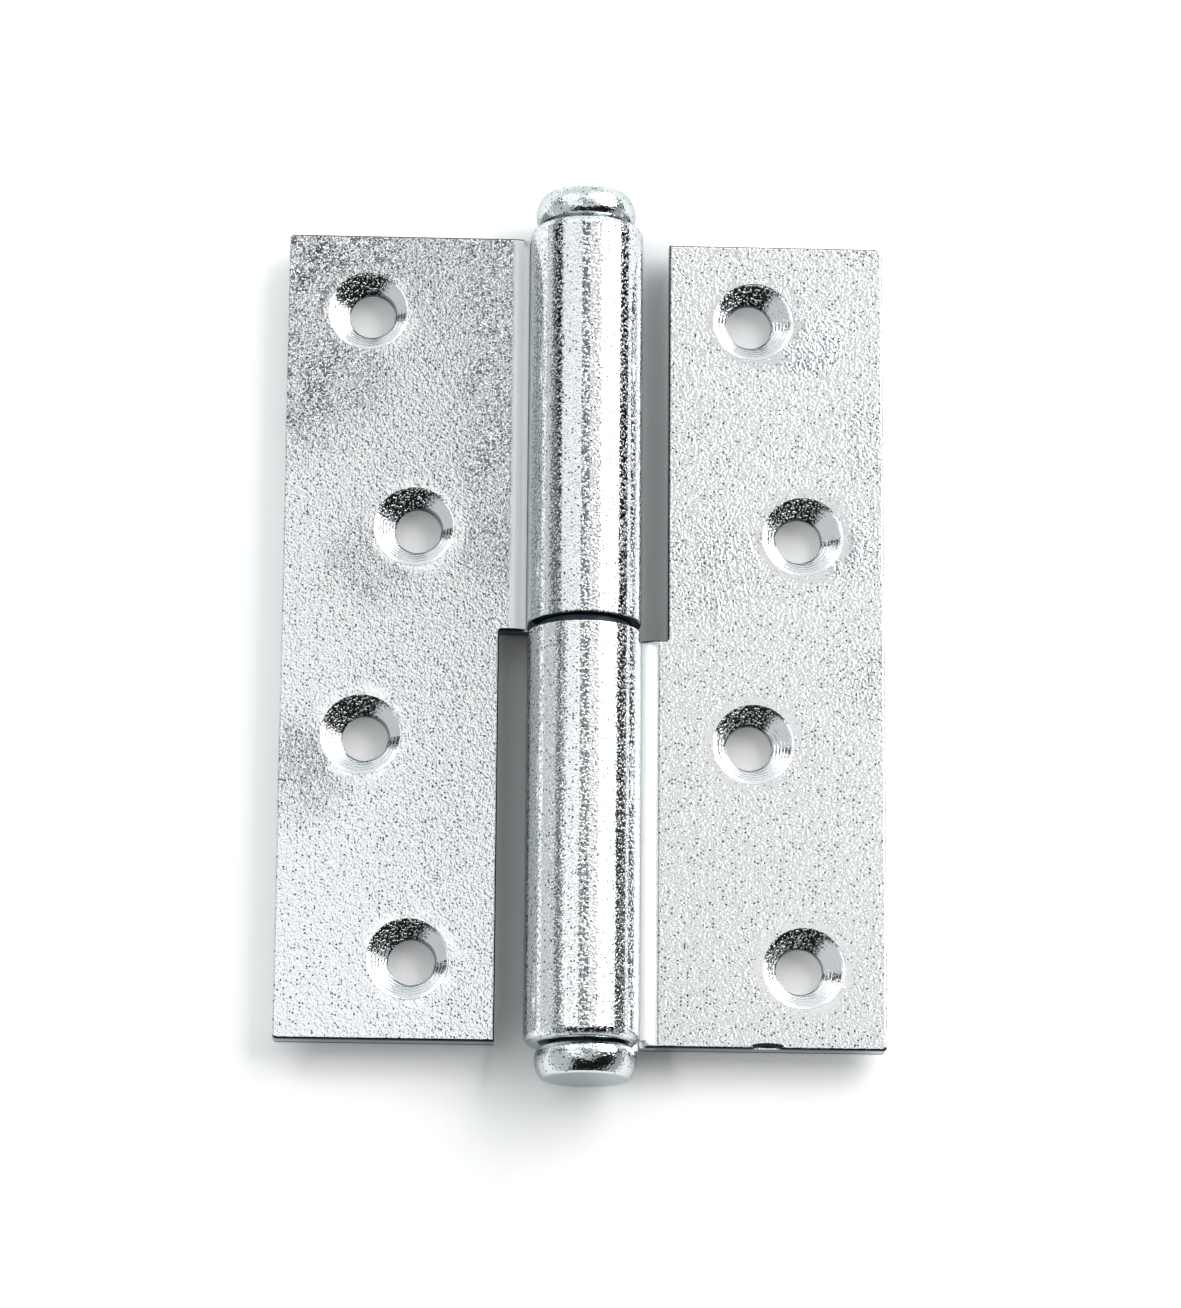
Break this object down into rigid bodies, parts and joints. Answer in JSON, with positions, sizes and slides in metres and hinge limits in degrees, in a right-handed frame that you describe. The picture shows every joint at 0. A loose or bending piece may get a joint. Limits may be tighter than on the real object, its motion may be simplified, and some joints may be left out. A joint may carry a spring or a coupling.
{
  "type": "lift-off hinge",
  "caption": "Two-leaf steel lift-off hinge: rolled knuckles on a pressed pin with button ends, staggered countersunk screw holes, door leaf lifts off upwards.",
  "frame": {"origin": "below the middle of the pin, level with the lowest line of the knuckles, halfway along the hinge", "axes": "+X from the pin towards the frame leaf, +Y along the pin in the direction the door leaf lifts off, +Z out of the countersunk faces with the hinge open flat"},
  "size_m": [0.08, 0.1202, 0.0151],
  "materials": {
    "zinc_plated_steel": "bright zinc plating with a fine grainy texture",
    "washer_steel": "dull zinc plating"
  },
  "bodies": {
    "frame_side": {"frame_leaf": "zinc_plated_steel", "hinge_pin": "zinc_plated_steel"},
    "washer": {"washer": "washer_steel"},
    "door_side": {"door_leaf": "zinc_plated_steel", "top_cap": "zinc_plated_steel"}
  },
  "joints": [
    {"name": "swing", "type": "hinge", "parent": "frame_side", "child": "washer", "pos_m": [0, 0, 0.00755], "axis": [0, 1, 0], "range_deg": [-120, 180]},
    {"name": "lift_off", "type": "slide", "parent": "washer", "child": "door_side", "axis": [0, 1, 0], "range_m": [0, 0.06]}
  ]
}
